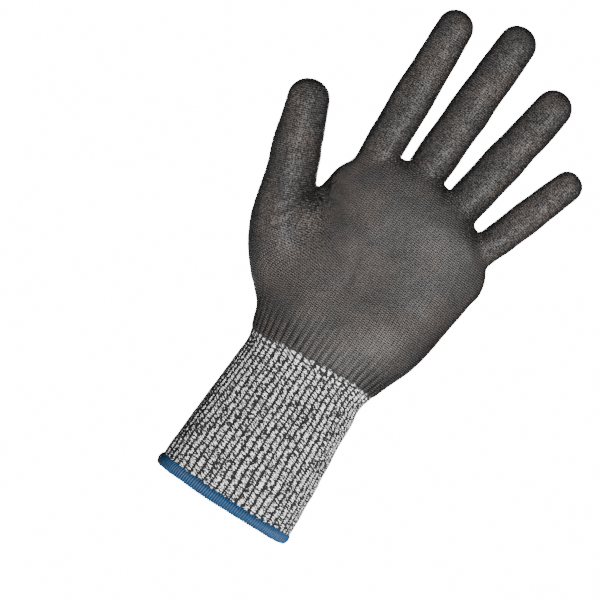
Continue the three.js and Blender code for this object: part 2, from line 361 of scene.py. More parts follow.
def digit_loft(digit):
    start = -50.0 if digit["name"] == "thumb" else -0.35 * digit["length"]
    tip_width = digit_sizes(digit, np.array([digit["length"]]))[0][0]
    dome = digit["length"] - tip_width
    heights = np.append(np.arange(start, dome, RING_STEP), dome)
    shares = np.ones(len(heights))
    angles = np.radians(DOME_ANGLES)
    sizes = digit_sizes(digit, np.append(heights, np.full(len(angles), dome)))
    heights = np.append(heights, dome + tip_width * np.sin(angles))
    shares = np.append(shares, np.cos(angles) ** 0.92)
    rings = []
    for height, share, (width, front, back) in zip(heights, shares, sizes):
        x, y = rounded_ring(width * share, front * share, back * share, DIGIT_POWER)
        rings.append(digit["origin"] + np.outer(x, digit["across"]) + np.outer(y, digit["back"])
                     + height * digit["along"])
    return closed_loft(np.array(rings))


def join(shapes):
    verts, faces, offset = [], [], 0
    for shape_verts, shape_faces in shapes:
        verts.append(shape_verts)
        faces += [[index + offset for index in face] for face in shape_faces]
        offset += len(shape_verts)
    return np.vstack(verts), faces


hand_lofts = join([body_loft()] + [digit_loft(digit) for digit in digits])
print("loft vertices:", len(hand_lofts[0]))

# %% [markdown]
# ## One skin
# A voxel remesh turns the crossing lofts into one skin of small even quads. Even quads suit what
# follows: the skin is smoothed, sculpted, and divided along lines that no modeller drew in advance.
# The relaxing helper pulls each point towards its neighbours, as tight cloth does.

# %% Remesh into one skin
VOXEL = 0.9


def voxel_skin(verts, faces, voxel):
    mesh = bpy.data.meshes.new("lofts")
    mesh.from_pydata((verts * MM).tolist(), [], faces)
    source = bpy.data.objects.new("lofts", mesh)
    bpy.context.scene.collection.objects.link(source)
    remesh = source.modifiers.new("voxels", "REMESH")
    remesh.mode = "VOXEL"
    remesh.voxel_size = voxel * MM
    bpy.context.view_layer.update()
    skin = source.evaluated_get(bpy.context.evaluated_depsgraph_get()).to_mesh()
    count = len(skin.vertices)
    points = np.zeros(count * 3)
    skin.vertices.foreach_get("co", points)
    quads = np.array([list(face.vertices) for face in skin.polygons if len(face.vertices) == 4])
    odd = sum(len(face.vertices) != 4 for face in skin.polygons)
    bpy.data.objects.remove(source)
    print("skin:", count, "vertices,", len(quads), "quads,", odd, "other faces")
    return points.reshape(-1, 3) / MM, quads


def edges_of(quads):
    pairs = np.vstack([quads[:, [i, (i + 1) % 4]] for i in range(4)])
    return np.unique(np.sort(pairs, axis=1), axis=0)


def relax(points, edges, weight, rounds):
    """Moves each point towards the middle of its neighbours, by its weight."""
    degree = np.bincount(edges.ravel(), minlength=len(points))[:, None]
    for _ in range(rounds):
        total = np.zeros_like(points)
        for axis in range(3):
            total[:, axis] = (np.bincount(edges[:, 0], points[edges[:, 1], axis], len(points))
                              + np.bincount(edges[:, 1], points[edges[:, 0], axis], len(points)))
        points = points + weight[:, None] * (total / degree - points)
    return points


def face_normals_to_points(points, faces, count):
    """Unit normals at the points, from faces of four corners (the last may repeat)."""
    a, b, c, d = (points[faces[:, i]] for i in range(4))
    across = np.cross(c - a, d - b)
    normals = np.zeros((count, 3))
    for i in range(4):
        for axis in range(3):
            normals[:, axis] += np.bincount(faces[:, i], across[:, axis], count)
    return normals / np.maximum(np.linalg.norm(normals, axis=1, keepdims=True), 1e-9)


skin_points, skin_quads = voxel_skin(*hand_lofts, VOXEL)
skin_edges = edges_of(skin_quads)

# %% [markdown]
# ## Where each point is
# Every later step asks the same questions of a point on the skin: which digit or the palm is it on,
# how far along and how far round? The answers also serve as knit coordinates, because the rows of a
# seamless glove run round each tube and its columns run along it.

# %% Coordinates on the skin
WEBS = [("index", "middle", 117.0), ("middle", "ring", 116.5), ("ring", "pinky", 107.5)]
FINGER_CUT = 2.0         # a finger's pieces begin this far above the webs
THUMB_CUT = 20.0         # the thumb's outer piece begins this far above its crease
digit_named = {digit["name"]: digit for digit in digits}
THUMB_WEB = np.array([-44.0, -2.0, WRIST_Z + 78.0])
THUMB_FACING = unit(0.83 * digit_named["thumb"]["along"] - 0.56 * digit_named["thumb"]["across"])
THUMB_ROOT_LOW = -30
FINGER_ROOT_LOW = -6


def ratio_in(local, sizes):
    depth = np.where(local[:, 1] < 0, sizes[:, 1], sizes[:, 2])
    return np.hypot(local[:, 0] / sizes[:, 0], local[:, 1] / depth)


def body_sizes(points):
    left, right, front, back = BODY_TABLE(points[:, 2] - WRIST_Z).T
    local = np.column_stack([points[:, 0] - (left + right) / 2, points[:, 1], points[:, 2]])
    return local, np.column_stack([(right - left) / 2, front, back])


def locate(points):
    """For each point: the number of its digit (-1 on the palm) and, for every digit, its local
    coordinates, its ring sizes there and how many times its ring's radius it is away."""
    best = ratio_in(*body_sizes(points))
    owner = np.full(len(points), -1)
    places = []
    for number, digit in enumerate(digits):
        local = into_digit(points, digit)
        sizes = digit_sizes(digit, local[:, 2])
        ratio = ratio_in(local, sizes)
        if digit["name"] == "thumb":
            score = np.where(local[:, 2] > THUMB_ROOT_LOW, ratio, np.inf)
        else:
            score = np.where(local[:, 2] > FINGER_ROOT_LOW, ratio, np.inf)
            score -= 2.0 * ((local[:, 2] > FINGER_CUT) & (ratio < 1.5))     # surely past the webs
        owner = np.where(score < best, number, owner)
        best = np.minimum(score, best)
        places.append((local, sizes, ratio))
    return owner, places


def web_centre(first, second, height):
    middle = (digit_named[first]["origin"] + digit_named[second]["origin"]) / 2
    return np.array([middle[0], 0, WRIST_Z + height])


web_centres = [web_centre(*web) for web in WEBS] + [THUMB_WEB]
owner, places = locate(skin_points)
print("points on the palm and cuff:", int((owner == -1).sum()))

# %% [markdown]
# ## Soft webs
# Where two lofts meet, the skin has a sharp corner. Knitted cloth cannot follow one: it spans from
# finger to finger as a soft web. So the webs, the root of the thumb and the top of the palm are relaxed
# for many rounds, while the fingertips keep their shape.

# %% Relax the webs and the root of the thumb
WEB_REACH = 8.5
near_web = np.zeros(len(skin_points))
for centre in web_centres:
    near_web = np.maximum(near_web, bump(np.linalg.norm(skin_points - centre, axis=1), WEB_REACH))
thumb_local, _, thumb_ratio = places[-1]
thumb_root = bump(thumb_ratio - ratio_in(*body_sizes(skin_points)), 0.3) * (thumb_local[:, 2] < 12)
thumb_root *= smooth_step((skin_points[:, 2] - WRIST_Z + 6) / 10)
palm_top = bump(skin_points[:, 2] - (WRIST_Z + 100), 18) * (owner == -1)
skin_points = relax(skin_points, skin_edges, np.full(len(skin_points), 0.5), 3)
skin_points = relax(skin_points, skin_edges, 0.6 * np.clip(near_web * 1.6, 0, 1), 30)
skin_points = relax(skin_points, skin_edges, 0.9 * thumb_root, 220)
skin_points = relax(skin_points, skin_edges, 0.5 * palm_top, 25)
owner, places = locate(skin_points)
print("points on each digit:", [int((owner == number).sum()) for number in range(len(digits))])

# %% [markdown]
# ## Measuring round a tube
# Ribs and stitches are spaced by length along the cloth and not by angle, or they would crowd at the
# flat sides of the cuff. So the length of an ellipse's arc is added up once for a flat tube and once for
# a round one, and each section lies between the two.

# %% Measure round a tube
FLAT_AND_ROUND = (0.35, 1.0)     # depth over width of the two measured tubes
ellipse_angle = np.linspace(0, math.pi, 400)


def ellipse_arc(angle, flatness):
    """Arc length from the middle of the wide side of an ellipse of half width 1, and half its turn."""
    speed = np.hypot(np.cos(ellipse_angle), flatness * np.sin(ellipse_angle))
    arc = np.append(0, np.cumsum((speed[1:] + speed[:-1]) / 2 * np.diff(ellipse_angle)))
    return np.sign(angle) * np.interp(np.abs(angle), ellipse_angle, arc), arc[-1]


def tube_coordinates(local, sizes, palm_first):
    """Millimetres round a tube from the middle of its back or its palm side, and half of its turn."""
    upright = np.where(local[:, 1] < 0, local[:, 1] / sizes[:, 1], local[:, 1] / sizes[:, 2])
    angle = np.arctan2(local[:, 0] / sizes[:, 0], -upright if palm_first else upright)
    low, high = FLAT_AND_ROUND
    roundness = np.clip((sizes[:, 1:].mean(1) / sizes[:, 0] - low) / (high - low), 0, 1)
    flat_arc, flat_half = ellipse_arc(angle, low)
    round_arc, round_half = ellipse_arc(angle, high)
    arc = flat_arc + roundness * (round_arc - flat_arc)
    half = flat_half + roundness * (round_half - flat_half)
    return arc * sizes[:, 0], half * sizes[:, 0]


print("half a turn of a circle, in radii:", round(float(ellipse_arc(0.0, 1.0)[1]), 3))

# %% [markdown]
# ## Ribs that die away
# The cuff's ribs run on under the hand for a short way and then fade: soon on the back, and later on
# the palm, where the coating shows them as a fan of folds.

# %% Ribs
RIB_COUNT = 54
RIB_TOP = WRIST_Z + 6          # where rib knit turns into plain knit


def rib_phase(points):
    """Turns of the rib pattern round the cuff, counted from the middle of the back."""
    arc, half = tube_coordinates(*body_sizes(points), palm_first=False)
    return RIB_COUNT * arc / (2 * half)


def rib_height(phase):
    """A round ridge with a narrow valley, from 0 to 1."""
    return np.abs(np.cos(math.pi * phase)) ** 0.75


def rib_fade(points, normals):
    """1 on the cuff, easing to 0 where the ribs have died away: soon on the back, later on the palm."""
    reach = 9 + 21 * smooth_step(0.5 - normals[:, 1])
    return smooth_step(1 - (points[:, 2] - RIB_TOP) / reach)


wrist_turn = 2 * tube_coordinates(*body_sizes(np.array([[0, -1, WRIST_Z]])), palm_first=False)[1][0]
print("rib spacing at the wrist, mm:", round(wrist_turn / RIB_COUNT, 2))

# %% [markdown]
# ## Sculpting the hand inside
# The pads of the palm, the heel, the knuckles and the creases at the joints push the cloth out or let
# it sink. Each is a soft bump added along the surface's normal, so the sizes are real depths in
# millimetres, and none is deeper than knitted cloth over a hand would show.

# %% Sculpt pads and creases
CREASE_DEPTH = 0.28
# Push outwards, place across the hand, place above the wrist, radius.
HEEL_PAD = (1.3, 33, 34, 17)
PALM_HOLLOW = (-2.2, 2, 62, 20)
THUMB_PAD = (1.1, -34, 42, 14)
# Place across the hand and above the wrist, and radius, of two arcs round the root of the thumb.
THUMB_CREASE = (-52, 44, 46)
THUMB_PLEATS = (-62, 96, 30)


def spot(points, x, z, radius):
    return bump(np.hypot(points[:, 0] - x, points[:, 2] - WRIST_Z - z), radius)


def sculpt(points, normals, owner, places):
    on_palm = smooth_step(-normals[:, 1] * 1.4)
    on_back = smooth_step(normals[:, 1] * 1.4)
    height = points[:, 2] - WRIST_Z
    push = np.zeros(len(points))
    for depth, x, z, radius in (HEEL_PAD, PALM_HOLLOW, THUMB_PAD):
        push += depth * spot(points, x, z, radius) * on_palm
    x, z, radius = THUMB_CREASE
    line = np.hypot(points[:, 0] - x, height - z) - radius + 1.5 * noise(points, 12, 7)
    push -= 0.55 * bump(line, 2.6) * smooth_step((height - 30) / 25) * on_palm * (owner == -1)
    x, z, radius = THUMB_PLEATS
    turn = np.arctan2(height - z, points[:, 0] - x)
    pleats = np.sin(turn * 26 + 1.5 * noise(points, 8, 12))
    pleats *= bump(np.hypot(points[:, 0] - x, height - z) - radius, 11)
    push += 0.4 * pleats * on_palm * spot(points, -36, 80, 22)
    push += 0.9 * bump(height - 96, 9) * on_palm * (owner == -1)
    push += 0.35 * noise(points, 15, 1) + 0.14 * noise(points, 6, 2) + 0.05 * noise(points, 1.3, 3)
    for number, digit in enumerate(digits):
        local, sizes, _ = places[number]
        along, mine = local[:, 2], owner == number
        if digit["name"] == "thumb":
            spots = [THUMB_JOINT]
        else:
            spots = [BASE_HINGE - 3, MIDDLE_SHARE * digit["length"], END_SHARE * digit["length"]]
            knuckle = bump(along + 19, 8) * bump(local[:, 0], 6.5) * on_back
            push += 1.5 * knuckle
        palm_side = smooth_step(-local[:, 1] / sizes[:, 1] * 1.5) * mine
        back_side = smooth_step(local[:, 1] / sizes[:, 2] * 1.5) * mine
        waver = 0.9 * noise(points, 7, 5 + number)
        for middle in spots:
            away = along - middle + waver
            push -= CREASE_DEPTH * bump(away, 2.2) * palm_side
            push += 0.2 * bump(np.abs(away) - 6, 3.5) * palm_side
            push -= 0.2 * bump(np.abs(away) - 2.6, 0.9) * palm_side * (0.5 + 0.5 * noise(points, 5, 9))
            push += 0.22 * np.cos(away * 2.4) * bump(away, 4.5) * back_side
    crease = (points - THUMB_WEB) @ THUMB_FACING
    folds = np.cos(crease * 1.15 + 1.2 * noise(points, 9, 11)) * bump(crease - 1, 7)
    push += 0.4 * folds * spot(points, -50, 66, 15)
    push += 0.5 * (rib_height(rib_phase(points)) - 0.6) * rib_fade(points, normals)
    return points + normals * push[:, None]


skin_normals = face_normals_to_points(skin_points, skin_quads, len(skin_points))
smooth_points = skin_points
skin_points = sculpt(skin_points, skin_normals, owner, places)
owner, places = locate(skin_points)
skin_normals = face_normals_to_points(skin_points, skin_quads, len(skin_points))
print("deepest push, mm:", round(float(np.linalg.norm(skin_points - smooth_points, axis=1).max()), 2))

# %% [markdown]
# ## Knit coordinates
# The liner's pattern is measured round from the middle of the back, so its hidden join lies under the
# coating, and the coating's is measured from the middle of the palm side. At the root of each digit the
# palm's coordinates ease into the digit's own, as the stitches of a seamless glove do.

# %% Knit coordinates
def digit_shares(owner, places):
    """For each digit: 0 where the palm's coordinates hold, 1 where the digit's do."""
    shares = []
    for number, (digit, (local, _, ratio)) in enumerate(zip(digits, places)):
        if digit["name"] == "thumb":
            share = smooth_step((local[:, 2] + 38) / 42) * smooth_step((2.5 - ratio) / 1.3)
        else:
            share = smooth_step((local[:, 2] + 13) / 15) * smooth_step((1.75 - ratio) / 0.35)
        shares.append(share * ((owner == number) | (owner == -1)))
    return shares


def knit_coordinates(points, owner, places, palm_first):
    """Around and along in mm, the middle that around is counted from, and half of its turn."""
    local, sizes = body_sizes(points)
    around, half = tube_coordinates(local, sizes, palm_first)
    centre, along = np.zeros(len(points)), points[:, 2].copy()
    for digit, share, (local, sizes, _) in zip(digits, digit_shares(owner, places), places):
        digit_around, digit_half = tube_coordinates(local, sizes, palm_first)
        around += share * (digit_around - around)
        half += share * (digit_half - half)
        centre += share * (digit["origin"][0] - centre)
        along += share * (local[:, 2] + digit["origin"][2] - along)
    return around, along, centre, half


liner_knit = knit_coordinates(skin_points, owner, places, palm_first=False)
coat_knit = knit_coordinates(skin_points, owner, places, palm_first=True)
print("widest half turn, mm:", round(float(liner_knit[3].max()), 1))

# %% [markdown]
# ## The dip line
# The coating ends where the hand stopped sinking into the liquid: along the sides of the hand and the
# fingers, above the heel, and all round the fingertips. Its distance is worked out for every point, with
# noise for the wavering edge, so that the same numbers can cut the mesh and thin the film.

# %% Dip line
TIP_DIP = 19.0
HEEL_DIP = 8.5
# Height on a digit, and degrees from the middle of its back to the edge of the coating.
STRIP_EDGES = smooth_table([[-10, 64], [10, 60], [32, 54], [60, 47], [90, 44]])


def soft_max(a, b, blend_width=1.5):
    top = np.maximum(a, b)
    return top + blend_width * np.log(np.exp((a - top) / blend_width) + np.exp((b - top) / blend_width))


def dip_depth(points, owner, places):
    """Millimetres inside the coated area, negative on bare knit."""
    x, y, height = points[:, 0], points[:, 1], points[:, 2] - WRIST_Z
    side = 3.2 + 1.2 * np.sin(height / 17) - y
    heel = height - HEEL_DIP - 1.2 * np.sin(x / 11) + 3.0 * smooth_step((-x - 14) / 16)
    depth = -soft_max(-side, -heel)
    for digit, share, (local, sizes, _) in zip(digits, digit_shares(owner, places), places):
        angle = np.arctan2(np.abs(local[:, 0]) / sizes[:, 0], local[:, 1] / sizes[:, 2])
        edge = np.radians(STRIP_EDGES(local[:, 2])[:, 0])
        strip = (angle - edge) * sizes[:, 0]
        tip = local[:, 2] - (digit["length"] - TIP_DIP)
        depth += share * (soft_max(strip, tip) - depth)
    return depth + 0.75 * noise(points, 2.6, 21) + 0.4 * noise(points, 1.2, 22)


skin_ridge = 1 - (1 - rib_height(rib_phase(skin_points))) * rib_fade(skin_points, skin_normals)
skin_digit = np.max(digit_shares(owner, places), axis=0)
skin_dip = dip_depth(skin_points, owner, places)
print("share of the skin that is dipped:", round(float((skin_dip > 0).mean()), 2))

# %% [markdown]
# ## Which piece follows which bones
# The glove bends at fifteen joints, so it is divided between them, halfway along each bone, where
# nothing bends. Each piece then crosses exactly one joint. Neighbours share their border points and
# their normals, so no seam shows.

# %% Divide the skin
BASE_BENDS = {"index": (7.4, 17), "middle": (2.2, 14), "ring": (4, 14.5), "pinky": (2.2, 14)}


def finger_pieces(digit):
    """Each piece of a finger: where it begins, its two bodies, and where its bend starts and ends."""
    name, length = digit["name"], digit["length"]
    middle, end = MIDDLE_SHARE * length, END_SHARE * length
    return {
        f"{name}_base": (FINGER_CUT, "hand", f"{name}_base", *BASE_BENDS[name]),
        f"{name}_middle": ((BASE_HINGE + middle) / 2 + 2, f"{name}_base", f"{name}_middle",
                           middle - 5, middle + 5.5),
        f"{name}_tip": ((middle + end) / 2, f"{name}_middle", f"{name}_tip", end - 5, end + 5),
    }


def label_faces(centres):
    """The name of the piece that each face belongs to."""
    owner, places = locate(centres)
    labels = np.full(len(centres), "hand", dtype=object)
    for number, digit in enumerate(digits):
        along, mine = places[number][0][:, 2], owner == number
        if digit["name"] == "thumb":
            labels[mine & ((centres - THUMB_WEB) @ THUMB_FACING > 0)] = "thumb_base"
            labels[mine & (along > THUMB_CUT)] = "thumb_tip"
            continue
        for name, (start, *_) in finger_pieces(digit).items():
            labels[mine & (along > start)] = name
    return labels


def bend_span(label):
    """The two bodies that a piece bends between, and the points where the bend starts and ends."""
    if label == "hand":
        return "cuff", "hand", np.array([0, 0, WRIST_Z - 9]), np.array([0, 0, WRIST_Z + 9])
    if label == "thumb_base":
        start = THUMB_WEB + 1.5 * THUMB_FACING
        return "hand", "thumb_base", start, start + 8.5 * THUMB_FACING
    digit = digit_named[label.split("_")[0]]
    if label == "thumb_tip":
        first, second, low, high = "thumb_base", "thumb_tip", THUMB_JOINT - 7, THUMB_JOINT + 7
    else:
        _, first, second, low, high = finger_pieces(digit)[label]
    return first, second, digit["origin"] + low * digit["along"], digit["origin"] + high * digit["along"]


def bend_weights(points, label):
    first, second, start, end = bend_span(label)
    weight = smooth_step((points - start) @ (end - start) / np.dot(end - start, end - start))
    return {first: 1 - weight, second: weight}


def worst_gap(points, faces, labels):
    """How far, as a share, two neighbouring pieces disagree on the bodies of a shared point."""
    used = {label: np.unique(faces[labels == label]) for label in sorted(set(labels))}
    worst = 0.0
    for first in used:
        for second in used:
            shared = np.intersect1d(used[first], used[second])
            if first >= second or not len(shared):
                continue
            one, two = bend_weights(points[shared], first), bend_weights(points[shared], second)
            gap = sum(np.abs(one.get(body, 0) - two.get(body, 0)) for body in {*one, *two}) / 2
            print(f"{first} | {second}: {len(shared)} shared points, gap {gap.max():.3f}")
            worst = max(worst, gap.max())
    return worst


skin_labels = label_faces(skin_points[skin_quads].mean(1))
print("worst gap:", round(float(worst_gap(skin_points, skin_quads, skin_labels)), 3))

# %% [markdown]
# ## The coating, cut out of the skin
# The film has a clean wavering edge, finer than the quads of the skin. So the skin's faces are cut where
# the dip distance passes through 0, and everything known at the points is carried over to the cut.

# %% Cut the coating out of the skin
def mix(first, second, share):
    share = share.reshape(-1, *[1] * (first.ndim - 1))
    return first * (1 - share) + second * share


def cut_coating(points, faces, labels, depth, carried):
    """The skin's faces where depth is above 0, cut along the line where it is 0. The cut adds points
    at the end of the list, and the carried arrays are interpolated there too."""
    inside = depth > 0
    count_in = inside[faces].sum(1)
    new_points, new_faces, new_labels = {}, [], []

    def cut_point(a, b):
        key = (min(a, b), max(a, b))
        return new_points.setdefault(key, len(points) + len(new_points))

    for index in np.flatnonzero((count_in > 0) & (count_in < 4)):
        corners, ring = faces[index].tolist(), []
        for a, b in zip(corners, corners[1:] + corners[:1]):
            if inside[a]:
                ring.append(a)
            if inside[a] != inside[b]:
                ring.append(cut_point(a, b))
        while len(ring) > 4:
            new_faces.append(ring[:4])
            new_labels.append(labels[index])
            ring = [ring[0]] + ring[3:]
        new_faces.append(ring if len(ring) == 4 else ring + ring[-1:])
        new_labels.append(labels[index])
    a, b = np.array(list(new_points)).T
    share = depth[a] / (depth[a] - depth[b])
    mixed = [np.concatenate([values, mix(values[a], values[b], share)]) for values in (points, *carried)]
    whole = count_in == 4
    faces = np.vstack([faces[whole], new_faces])
    return mixed, faces, np.concatenate([labels[whole], new_labels])


carried = [skin_normals, skin_dip, skin_ridge, skin_digit, *coat_knit]
coat_arrays, coat_quads, coat_labels = cut_coating(skin_points, skin_quads, skin_labels, skin_dip, carried)
coat_base, coat_normals, coat_dip, coat_ridge, coat_digit, *coat_knit = coat_arrays
print("coating:", len(coat_quads), "faces")

# %% [markdown]
# ## Meshes that carry their knit
# Each mesh takes its knit coordinates as a UV map, and other facts about its points, such as the dip
# distance, as stored attributes. Materials read both, so the pattern sticks to the cloth when it bends.
# Normals are given from the whole skin, so that no seam shows between two pieces.

# %% Make a mesh
def make_mesh(name, points, faces, material, corner_uv, normals=None, **attributes):
    mesh = bpy.data.meshes.new(name)
    triangles = faces[:, 2] == faces[:, 3]
    mesh.from_pydata((points * MM).tolist(), [],
                     [face[:3] if face[2] == face[3] else face for face in faces.tolist()])
    mesh.polygons.foreach_set("use_smooth", np.ones(len(mesh.polygons), bool))
    keep = np.ones(faces.shape, bool)
    keep[triangles, 3] = False
    mesh.uv_layers.new(name="knit").data.foreach_set("uv", corner_uv[keep].astype(np.float32).ravel())
    for key, values in attributes.items():
        kind, field = ("FLOAT", "value") if values.ndim == 1 else ("FLOAT_VECTOR", "vector")
        stored = mesh.attributes.new(key, kind, "POINT")
        stored.data.foreach_set(field, values.astype(np.float32).ravel())
    mesh.materials.append(material)
    if normals is not None:
        mesh.normals_split_custom_set_from_vertices(normals.tolist())
    piece = bpy.data.objects.new(name, mesh)
    bpy.context.scene.collection.objects.link(piece)
    return piece


print("facts known at each point of the coating:", len(coat_arrays))

# %% [markdown]
# ## Closed shells
# Cloth has thickness, and a piece needs two sides and a rim to be a real solid. A shell is built from
# the outer surface, the same surface moved inwards, and a strip along every open edge. A Solidify
# modifier would do the same, but would not share border points exactly with the next piece.

# %% Build closed shells
def boundary_edges(faces, count):
    """Directed edges that only one face uses. A triangle repeats its last corner."""
    pairs = np.vstack([faces[:, [i, (i + 1) % 4]] for i in range(4)])
    pairs = pairs[pairs[:, 0] != pairs[:, 1]]
    forward = pairs[:, 0] * count + pairs[:, 1]
    backward = pairs[:, 1] * count + pairs[:, 0]
    return pairs[~np.isin(forward, backward)]


def turned(corners, triangles):
    """The same corners the other way round."""
    back = corners[:, ::-1].copy()
    back[triangles] = corners[triangles][:, [2, 1, 0, 0]]
    return back


def unrolled(knit, faces):
    """Knit coordinates at face corners. Where a face crosses the join, it counts on past half a turn."""
    around, along, centre, half = (values[faces] for values in knit)
    crossing = (around.max(1) - around.min(1)) > half.mean(1)
    around = np.where(crossing[:, None] & (around < 0), around + 2 * half, around)
    return np.stack([around + centre, along], axis=2)


def shell_piece(name, outer, inner, normals, faces, knit, material, **attributes):
    """A closed piece from some faces of a surface: the outer side, the inner side and a rim."""
    used, compact = np.unique(faces, return_inverse=True)
    faces, count = compact.reshape(faces.shape), len(used)
    triangles = faces[:, 2] == faces[:, 3]
    knit = [values[used] for values in knit]
    edge = boundary_edges(faces, count)
    rim = np.column_stack([edge[:, 1], edge[:, 0], edge[:, 0], edge[:, 1]])
    whole = np.vstack([faces, turned(faces, triangles) + count, rim + [0, 0, count, count]])
    corners = unrolled(knit, faces)
    corners = np.vstack([corners, turned(corners, triangles), unrolled(knit, rim)])
    doubled = {key: np.concatenate([values[used]] * 2) for key, values in attributes.items()}
    return make_mesh(name, np.vstack([outer[used], inner[used]]), whole, material, corners,
                     np.vstack([normals[used], -normals[used]]), **doubled)


print("coating edges that only one face uses:", len(boundary_edges(coat_quads, len(coat_base))))

# %% [markdown]
# ## Writing node trees briefly
# Every finish is worked out by shader nodes from the knit coordinates and a few stored numbers. A small
# class keeps such trees readable: it adds a node, connects or sets its inputs, and hands back a socket.

# %% A short way to write node trees
class Nodes:
    """Adds nodes to a tree. Sockets and numbers may be mixed freely as inputs."""

    def __init__(self, tree):
        self.tree = tree

    def add(self, kind, inputs=(), **settings):
        node = self.tree.nodes.new(kind)
        for key, value in settings.items():
            setattr(node, key, value)
        pairs = inputs.items() if isinstance(inputs, dict) else enumerate(inputs)
        for key, value in pairs:
            if isinstance(value, bpy.types.NodeSocket):
                self.tree.links.new(value, node.inputs[key])
            else:
                node.inputs[key].default_value = value
        return node

    def math(self, operation, *values):
        return self.add("ShaderNodeMath", values, operation=operation).outputs[0]

    def ramp(self, value, low, high, start=0.0, end=1.0):
        """Eases from start to end while value goes from low to high."""
        inputs = {"Value": value, "From Min": low, "From Max": high, "To Min": start, "To Max": end}
        return self.add("ShaderNodeMapRange", inputs, interpolation_type="SMOOTHSTEP").outputs[0]

    def mix(self, share, first, second):
        node = self.add("ShaderNodeMix", data_type="RGBA")
        for socket, value in zip((node.inputs[0], node.inputs[6], node.inputs[7]), (share, first, second)):
            if isinstance(value, bpy.types.NodeSocket):
                self.tree.links.new(value, socket)
            else:
                socket.default_value = value
        return node.outputs[2]

    def join(self, *xyz):
        return self.add("ShaderNodeCombineXYZ", xyz).outputs[0]

    def noise(self, vector, scale, detail=1.0, roughness=0.5):
        inputs = {"Vector": vector, "Scale": scale, "Detail": detail, "Roughness": roughness}
        return self.add("ShaderNodeTexNoise", inputs, noise_dimensions="3D").outputs["Fac"]

    def stored(self, name, output="Fac"):
        return self.add("ShaderNodeAttribute", attribute_name=name).outputs[output]

    def group(self, group, inputs):
        return self.add("ShaderNodeGroup", inputs, node_tree=group).outputs


SOCKETS = {"F": "NodeSocketFloat", "V": "NodeSocketVector", "C": "NodeSocketColor"}


def new_group(name, inputs, outputs):
    """An empty node group, the sockets of its inputs by name, and its output node."""
    tree = bpy.data.node_groups.new(name, "ShaderNodeTree")
    for direction, sockets in (("INPUT", inputs), ("OUTPUT", outputs)):
        for socket, kind in sockets.items():
            tree.interface.new_socket(name=socket, in_out=direction, socket_type=SOCKETS[kind])
    nodes = Nodes(tree)
    return nodes, nodes.add("NodeGroupInput").outputs, nodes.add("NodeGroupOutput").inputs


print("kinds of group socket:", ", ".join(SOCKETS.values()))

# %% [markdown]
# ## The knit group
# Plain knit shows as columns of V-shaped stitches. Each leg of a V is a slanted stroke across half a
# column, and the two legs mirror each other. Liner, cuff and coating all use this group, with their own
# stitch sizes, so their yarns line up with the same coordinates.

# %% The knit group
def knit_group():
    """Rows of V-shaped stitches, as a height from 0 to 1."""
    nodes, given, made = new_group(
        "knit stitches", {"Place": "V", "Column Width": "F", "Row Height": "F", "Slant": "F"},
        {"Height": "F"})
    place = nodes.add("ShaderNodeSeparateXYZ", [given["Place"]]).outputs
    wander = nodes.math("SUBTRACT", nodes.noise(given["Place"], 0.35, 2.0), 0.5)
    column = nodes.math("DIVIDE", nodes.math("ADD", place[0], nodes.math("MULTIPLY", wander, 0.5)),
                        given["Column Width"])
    side = nodes.math("ABSOLUTE", nodes.math("SUBTRACT", nodes.math("FRACT", column), 0.5))
    height = nodes.math("DIVIDE", nodes.math("ADD", place[1], nodes.math("MULTIPLY", wander, 0.9)),
                        given["Row Height"])
    row = nodes.math("ADD", height, nodes.math("MULTIPLY", side, given["Slant"]))
    leg = nodes.math("SINE", nodes.math("MULTIPLY", nodes.math("FRACT", row), math.pi))
    groove = nodes.ramp(side, 0.36, 0.5, 1.0, 0.25)
    middle = nodes.ramp(side, 0.0, 0.09, 0.55, 1.0)
    round_leg = nodes.math("POWER", leg, 0.7)
    relief = nodes.math("MULTIPLY", nodes.math("MULTIPLY", round_leg, groove), middle)
    nodes.tree.links.new(relief, made["Height"])
    return nodes.tree


knit = knit_group()
print("knit group:", len(knit.nodes), "nodes")
